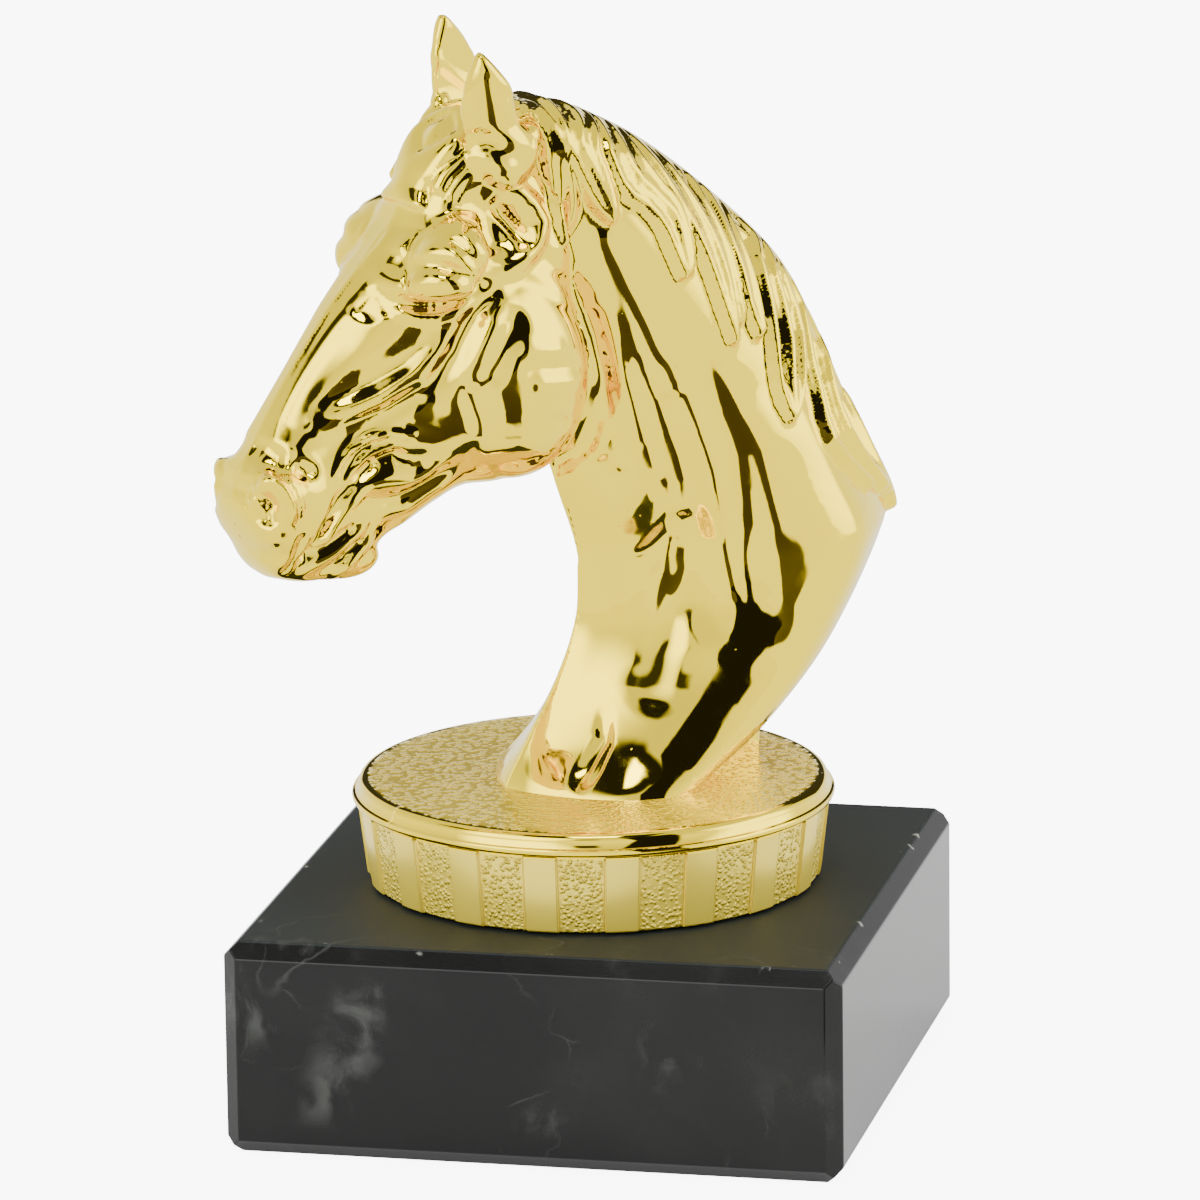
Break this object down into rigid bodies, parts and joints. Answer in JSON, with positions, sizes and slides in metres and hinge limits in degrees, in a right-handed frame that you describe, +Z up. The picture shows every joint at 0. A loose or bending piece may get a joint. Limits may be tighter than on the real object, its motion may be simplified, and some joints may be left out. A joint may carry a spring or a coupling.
{
  "type": "trophy",
  "caption": "Gold-plated horse head trophy on a round panelled base that stands on a black marble plinth.",
  "frame": {"origin": "centre of the plinth's underside", "axes": "+Z up; X and Y along the plinth's sides; the horse faces the corner between -X and -Y"},
  "size_m": [0.0611, 0.0611, 0.1063],
  "materials": {
    "black_marble": "polished, with thin pale veins",
    "gold_plating": "mirror-bright gold plating over a moulding"
  },
  "bodies": {
    "root": {"marble_plinth": "black_marble", "horse_figure": "gold_plating"}
  },
  "joints": []
}
